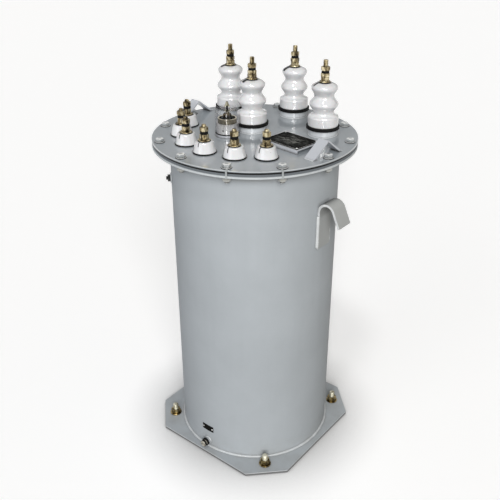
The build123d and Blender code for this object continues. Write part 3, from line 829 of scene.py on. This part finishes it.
def base_fixings():
    """Studs with a helical thread, hexagon nuts and wide washers at the base's corners."""
    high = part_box("base_studs")[1]
    nut_af, nut_t, washer_r, washer_t, stud_r = 24 * MM, 13 * MM, 17 * MM, 3 * MM, 8 * MM
    play, pitch = 0.3 * MM, 2 * MM
    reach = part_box("base_washers")[1].x - washer_r
    nut_z = base_top + washer_t
    nuts, rings, rods = Shape(), Shape(), Shape()
    for at in corners(reach, reach):
        twist = at @ turn_z(chance.uniform(0, 60))
        rings.add(washer(washer_r, stud_r + play, base_top, nut_z, edge=0.8 * MM), at)
        nuts.add(hexagon(nut_af, nut_z, nut_z + nut_t, bore=stud_r), twist)
        rods.add(threaded(stud_r, 0, high.z, pitch, tip=2.5 * MM, dome=0.7), at)
    nuts.piece("base_stud_nuts", zinc, "zinc_fixings", ["base_studs"])
    rods.piece("base_stud_rods", pale_zinc, "zinc_fixings", ["base_studs"])
    rings.piece("base_stud_washers", zinc, "zinc_fixings", ["base_washers"])


def earth_fixing():
    """Earth stud with its washer and nut."""
    earth = Shape()
    stud_r, stud_start, stud_end, pitch = 5 * MM, 0.3 * MM, 13.5 * MM, 1.5 * MM
    washer_r, washer_t, nut_af, nut_z, nut_t = 9.5 * MM, 1.2 * MM, 17 * MM, 2.5 * MM, 7 * MM
    at = radial(earth_azimuth, tank_r, middle("earth_boss").z)
    earth.add(washer(washer_r, stud_r, nut_z, nut_z + washer_t, edge=0.3 * MM), at)
    earth.add(hexagon(nut_af, nut_z + washer_t, nut_z + nut_t, bore=stud_r), at @ turn_z(12))
    earth.add(threaded(stud_r, stud_start, stud_end, pitch, tip=1.2 * MM), at)
    earth.piece("earth_stud_nut", dark_steel, "zinc_fixings", ["earth_stud"])


def drain_plug():
    """Drain plug with a slanting slot: a turned body with two part discs on it, and a dark sleeve."""
    plug, sleeve = Shape(), Shape()
    low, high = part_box("drain_plug")
    plug_r, thread_r, slot_w, slot_d = (high.x - low.x) / 2, 6 * MM, 2.6 * MM, 2.4 * MM
    thread_z, head_z, head_end, edge = 4 * MM, 14 * MM, -low.y - tank_r, 0.8 * MM
    at = radial(drain_azimuth, tank_r, middle("drain_plug").z) @ turn_z(28)
    slot_z = head_end - slot_d
    body = [
        (thread_r, thread_z), (thread_r, head_z), (plug_r - edge, head_z), (plug_r, head_z + edge), (plug_r, slot_z),
    ]
    plug.add(turned(body, 56), at)
    start = math.asin(slot_w / 2 / plug_r)
    for side in (0, math.pi):
        angles = np.linspace(start, math.pi - start, 25) + side
        rings = []
        for z, inset in ((slot_z - 0.1 * MM, 0.0), (head_end - edge, 0.0), (head_end, edge)):
            r = plug_r - inset
            rings.append([(r * math.cos(a), r * math.sin(a), z) for a in angles])
        plug.add(skin(rings), at)
    sleeve_start, sleeve_end = head_end - 7 * MM, head_end - 1.2 * MM
    sleeve.add(washer(plug_r + 0.6 * MM, plug_r - 0.4 * MM, sleeve_start, sleeve_end, edge=0.2 * MM), at)
    sleeve.piece("drain_plug_sleeve", rubber_clean, "black_rubber")
    plug.piece("drain_plug_head", plug_steel, "terminal_brass", ["drain_plug"])


def switch_grip(at, seat):
    """Winged grip on a threaded spindle."""
    low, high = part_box("switch_spindle")
    stem_r, stem_top, thread_start, pitch = 2.5 * MM, seat + 30 * MM, seat + 29 * MM, 1.0 * MM
    wing_turn, wing_t = 8, 6.0 * MM
    grip = Shape()
    grip.add(turned([(stem_r * 0.9, low.z), (stem_r, low.z + 1 * MM), (stem_r, stem_top)], 24), at)
    grip.add(threaded(stem_r, thread_start, high.z, pitch, tip=0.8 * MM, sides=24), at)
    # Radius and height above the seat, in mm
    hub = [(9.0, 0.0), (9.0, 4.0), (7.0, 5.0), (5.5, 9.0), (5.5, 13.0), (7.0, 16.0), (7.2, 20.0), (6.0, 23.0),
           (4.2, 25.5), (3.6, 27.0), (5.0, 27.5), (5.0, 31.5), (2.6, 32.5)]
    grip.add(turned([(r * MM, seat + z * MM) for r, z in hub], 40), at)
    # Across and above the seat, in mm
    wing = [(-6.0, 11.0), (6.0, 11.0), (9.4, 13.5), (10.8, 17.0), (10.2, 21.0), (7.0, 24.5),
            (-7.0, 24.5), (-10.2, 21.0), (-10.8, 17.0), (-9.4, 13.5)]
    facing = at @ turn_z(view_azimuth + wing_turn) @ Matrix.Translation((0, 0, seat))
    grip.add(slab([(x * MM, z * MM) for x, z in wing], wing_t, edge=1.2 * MM), facing)
    grip.piece("switch_grip", bronze, "terminal_brass", ["switch_spindle"])


def switch_top_nut():
    """Nut on the spindle's top: a turned body between two legs."""
    nut = Shape()
    height, nut_turn, leg_t = 13 * MM, 6, 3.4 * MM
    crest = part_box("switch_wing_nut")[1].z - 0.5 * MM
    upright = spot("switch_wing_nut", crest - height) @ turn_z(view_azimuth + nut_turn)
    # Outwards and up, in mm
    leg = [(0.2, 12.6), (2.8, 12.6), (3.8, 9.0), (6.6, 1.6), (6.6, 0.0), (3.6, 0.0), (2.2, 3.0), (0.2, 6.0)]
    for side in (-1, 1):
        nut.add(slab([(side * x * MM, z * MM) for x, z in leg], leg_t, edge=0.4 * MM), upright)
    body = [(3.6, 3.5), (4.1, 4.2), (3.4, 10), (2.6, 12.8)]
    nut.add(turned([(r * MM, z * MM) for r, z in body], 32), upright)
    nut.piece("switch_top_nut", pale_zinc, "terminal_brass", ["switch_wing_nut"])


def switch_well_shade(at, seat):
    """Painted shade: a dark floor and wall inside the switch's ring. Painted highlight: a bright rim on the ring's top.
    """
    well_shade, rim = Shape(), Shape()
    ring_inner = (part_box("switch_ring")[1].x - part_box("switch_ring")[0].x) / 2 - 3 * MM
    rim_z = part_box("switch_ring")[1].z
    floor_z, hub_r = seat + 0.8 * MM, 6 * MM
    well_shade.add(turned([(ring_inner, seat - 0.2 * MM), (ring_inner - 0.4 * MM, floor_z), (hub_r, floor_z)], 56), at)
    wall_r, wall_low, wall_high = ring_inner - 0.2 * MM, seat + 0.2 * MM, rim_z - 0.4 * MM
    inside_r = wall_r - 0.5 * MM
    wall = [(wall_r, wall_low), (wall_r, wall_high), (inside_r, wall_high), (inside_r, wall_low)]
    well_shade.add(turned(wall, 56, loop=True), at)
    well_shade.piece("switch_well_shade", dark_steel, "cast_alloy")
    rim.add(washer(ring_inner + 2.9 * MM, wall_r, rim_z - 0.6 * MM, rim_z + 0.25 * MM, sides=64), at)
    rim.piece("switch_rim_highlight", rim_highlight_brass, "terminal_brass")


def switch_screws(at, seat):
    """Set screws round the switch's body."""
    screws = Shape()
    body_r = (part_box("switch_body")[1].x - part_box("switch_body")[0].x) / 2
    sunk, below_seat = 0.6 * MM, 15 * MM
    profile = [(2.2, 0), (2.2, 0.75), (1.9, 0.9), (1.0, 0.9), (0.8, 0.2)]
    for azimuth in (view_azimuth - 20, view_azimuth + 100, view_azimuth + 220):
        screw = at @ radial(azimuth, body_r - sunk, seat - below_seat)
        screws.add(turned([(r * MM, z * MM) for r, z in profile], 20), screw)
    screws.piece("switch_set_screws", dark_steel, "zinc_fixings")


def switch_details():
    """The tap switch's grip, top nut, painted shade inside the ring, painted highlight on its rim, and set screws."""
    at, seat = spot("switch_spindle", 0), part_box("switch_body")[1].z
    switch_grip(at, seat)
    switch_top_nut()
    switch_well_shade(at, seat)
    switch_screws(at, seat)


def run(shape, path, matrix, radius, seed, ripple, closed=False):
    """Adds the weld bead of a path that a matrix moves into place."""
    shape.add(bead([matrix @ Vector(p) for p in path], radius, seed, ripple, closed))


def welds():
    """Beads at the tank's foot, under the flange, round the collars and at the lugs, brackets and bosses."""
    foot, other, lugs = Shape(), Shape(), Shape()
    still = Matrix.Identity(4)
    ring = circle(tank_r + 1.2 * MM, base_top + 1.2 * MM, 180)
    run(foot, ring, still, 4.2 * MM, 1, 3.2 * MM, closed=True)
    foot.piece("tank_foot_weld", weld_paint, "tank_paint", ["base_weld"], sharp=60)
    ring = circle(tank_r + 0.8 * MM, flange_bottom - 0.8 * MM, 180)
    run(other, ring, still, 3 * MM, 2, 3 * MM, closed=True)
    ring = circle(36 * MM, 0.4 * MM, 48)
    for i in hv_numbers:
        run(other, ring, spot(f"hv_bushing_{i}", lid_top), 1.8 * MM, 10 + i, 2 * MM, closed=True)
    for number, azimuth in enumerate(lug_azimuths, start=1):
        low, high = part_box(f"lifting_lug_{number}")
        half = (high.y - low.y) / 2
        out = math.sqrt(tank_r ** 2 - half ** 2) + 1.5 * MM
        at = around(azimuth, 0)
        for side in (-1, 1):
            line = [(side * half, -out, low.z + 1 * MM), (side * half, -out, low.z + 91 * MM)]
            run(lugs, line, at, 4.4 * MM, 20 + number * 2 + side, 5 * MM)
        line = [(-half, -out, low.z), (half, -out, low.z)]
        run(other, line, at, 1.6 * MM, 30 + number, 3 * MM)
    for number, (azimuth, radius, turn) in enumerate(bracket_places, start=1):
        at = around(azimuth, radius) @ turn_z(turn)
        for end in (-1, 1):
            x = end * (bracket_span / 2 + 0.3 * MM)
            line = [(x, -bracket_w / 2, lid_top), (x, bracket_w / 2, lid_top)]
            run(other, line, at, 1.8 * MM, 40 + number * 2 + end, 3 * MM)
    at = radial(earth_azimuth, tank_r, middle("earth_boss").z)
    run(other, circle(12.4 * MM, 0.8 * MM, 40), at, 1.3 * MM, 51, 2 * MM, closed=True)
    at = radial(drain_azimuth, tank_r, middle("drain_boss").z)
    run(other, circle(10.6 * MM, 0.8 * MM, 40), at, 2.0 * MM, 52, 2 * MM, closed=True)
    other.piece("weld_beads", weld_paint, "tank_paint", sharp=60)
    lugs.piece("lug_welds", rough_weld, "tank_paint", sharp=60)


def plate_trims():
    """Rivets of both plates and the thin raised frame round the nameplate."""
    rivets, border = Shape(), Shape()
    at = spot("nameplate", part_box("nameplate")[1].z) @ turn_z(plate_turn)
    for corner in corners(50 * MM, 35 * MM):
        rivets.add(rivet(2.6 * MM, 1.6 * MM), at @ corner)
    for azimuth in (-4.1, 4.1):
        rivets.add(rivet(2.2 * MM, 1.4 * MM), radial(azimuth, tank_r + 1.0 * MM, middle("drain_label").z))
    rivets.piece("plate_rivets", steel, "zinc_fixings")
    half_l, half_w, line_w, line_t = 54.2 * MM, 39.2 * MM, 1.0 * MM, 0.35 * MM
    for quarter, (along, across) in enumerate(((half_l, half_w), (half_w, half_l)) * 2):
        path = [(across - line_w, 0.0), (across, 0.0)]
        border.add(ribbon(path, 2 * along, line_t, edge=0.1 * MM), at @ turn_z(90 * quarter))
    border.piece("nameplate_border", steel, "black_plate")


lid_bolts()
straps()
terminals()
shoulder_tabs()
base_fixings()
earth_fixing()
drain_plug()
switch_details()
welds()
plate_trims()


# Camera: how far from the axis and how high it stands, in metres, and its turns in radians
camera_reach, camera_height = 1.6967, 1.4745
camera_yaw, camera_pitch, camera_roll = -0.0078, 0.493, -0.003
lens_mm, sensor_mm, clip_end = 50.19, 36.0, 200.0


def aim():
    """Camera at the photograph's place, turned by its yaw, pitch and roll."""
    data = bpy.data.cameras.new("camera")
    data.lens = lens_mm
    data.sensor_width = sensor_mm
    data.clip_end = clip_end
    camera = bpy.data.objects.new("camera", data)
    bpy.context.scene.collection.objects.link(camera)
    stand = Matrix.Translation((0, -camera_reach, camera_height))
    look = Matrix.Rotation(-camera_yaw, 4, "Z") @ Matrix.Rotation(math.pi / 2 - camera_pitch, 4, "X")
    camera.matrix_world = turn_z(view_azimuth) @ stand @ look @ Matrix.Rotation(camera_roll, 4, "Z")
    bpy.context.scene.camera = camera


def seen_ray(n):
    """1 for rays that show the background: from the camera, off a gloss or through a clear piece."""
    path = n.new("ShaderNodeLightPath").outputs
    total = path["Is Camera Ray"]
    for kind in ("Is Glossy Ray", "Is Transmission Ray"):
        total = n.math("ADD", total, path[kind], clamp=True)
    return total


# Floor: its colour where it is seen and where it only throws light back, its glow where it is seen, how far its
# painted contact shadow reaches in metres, and how dark that gets
floor_seen, floor_lit, floor_glow = 0.96, 0.22, 0.25
floor_reach, floor_dark = 0.20, 0.12


def floor():
    """Plain floor, white to the eye, that keeps the object's shadow, darkens further near the object with a painted
    contact shadow, and throws little light back on the object.
    """
    half = 60.0
    mesh = bpy.data.meshes.new("studio_floor")
    mesh.from_pydata([(-half, -half, 0), (half, -half, 0), (half, half, 0), (-half, half, 0)], [], [(0, 1, 2, 3)])
    obj = bpy.data.objects.new("studio_floor", mesh)
    bpy.context.scene.collection.objects.link(obj)
    mat, n = material("studio_floor")
    seen = seen_ray(n)
    # Painted contact shadow: darker where the object crowds round the floor.
    shadow = n.ramp(n.openness(floor_reach, 16), (0.35, floor_dark), (1.0, 1.0))
    white = n.mix(seen, (floor_lit,) * 3, (floor_seen,) * 3)
    diffuse = n.new("ShaderNodeBsdfDiffuse")
    n.join(n.mix(1.0, white, shadow, "MULTIPLY"), diffuse.inputs["Color"])
    glow = n.new("ShaderNodeEmission")
    glow.inputs["Strength"].default_value = floor_glow
    n.join(n.mix(seen, (0.0, 0.0, 0.0), shadow), glow.inputs["Color"])
    both = n.new("ShaderNodeAddShader")
    n.join(diffuse.outputs[0], both.inputs[0])
    n.join(glow.outputs[0], both.inputs[1])
    n.surface(both)
    mesh.materials.append(mat)


def sun(name, azimuth, elevation, strength, spread, colour=(1, 1, 1)):
    """Sun lamp that shines from an azimuth and elevation, with a spread in degrees."""
    data = bpy.data.lights.new(name, "SUN")
    data.energy = strength
    data.angle = math.radians(spread)
    data.color = colour
    lamp = bpy.data.objects.new(name, data)
    bpy.context.scene.collection.objects.link(lamp)
    lamp.matrix_world = around(azimuth, 4.0, 3.0) @ Matrix.Rotation(math.radians(90 - elevation), 4, "X")
    return lamp


# World: its light on the object and that light's colour from the camera's left and right, and what is seen of it by
# the height of the direction
world_light = 0.18
cool_side = (0.78, 0.84, 0.97)
warm_side = (0.92, 0.83, 0.66)
sky_levels = ((0.12, 1.0), (0.27, 0.02), (0.42, 0.85))


def world():
    """White round the horizon with a dark band above it where it is seen, and a low, even light on the object."""
    made = bpy.data.worlds.new("studio")
    made.use_nodes = True
    n = Nodes(made.node_tree)
    direction = n.coordinates["Generated"]
    sky = n.ramp(n.axis(direction, "Z"), *sky_levels)
    across = math.radians(view_azimuth)
    toward = n.new("ShaderNodeVectorMath", operation="DOT_PRODUCT")
    toward.inputs[1].default_value = (math.cos(across), math.sin(across), 0)
    n.join(direction, toward.inputs[0])
    sides = n.rise(toward.outputs["Value"], -0.8, 0.8)
    lit = n.mix(sides, scaled(cool_side, world_light), scaled(warm_side, world_light))
    background = n.tree.nodes["Background"]
    n.join(n.mix(seen_ray(n), lit, sky), background.inputs["Color"])
    background.inputs["Strength"].default_value = 1.0
    bpy.context.scene.world = made


aim()
floor()
world()
sun("key", view_azimuth + 4, 28, 2.20, 30, (1.0, 0.995, 0.985))
sun("left_fill", view_azimuth - 46, 20, 0.40, 40, (0.97, 0.985, 1.0))
sun("right_fill", view_azimuth + 60, 25, 0.05, 60, (1.0, 0.94, 0.82))
sun("glint", view_azimuth - 8, 20, 0.45, 4)
sun("top_glint", view_azimuth - 20, 62, 0.45, 8)
back_fill = sun("back_fill", view_azimuth + 180, 10, 0.60, 30, (0.99, 1.0, 1.0))
back_fill.visible_glossy = False  # so low a light would glare off the glossy lid
bpy.context.scene.view_settings.view_transform = "Standard"
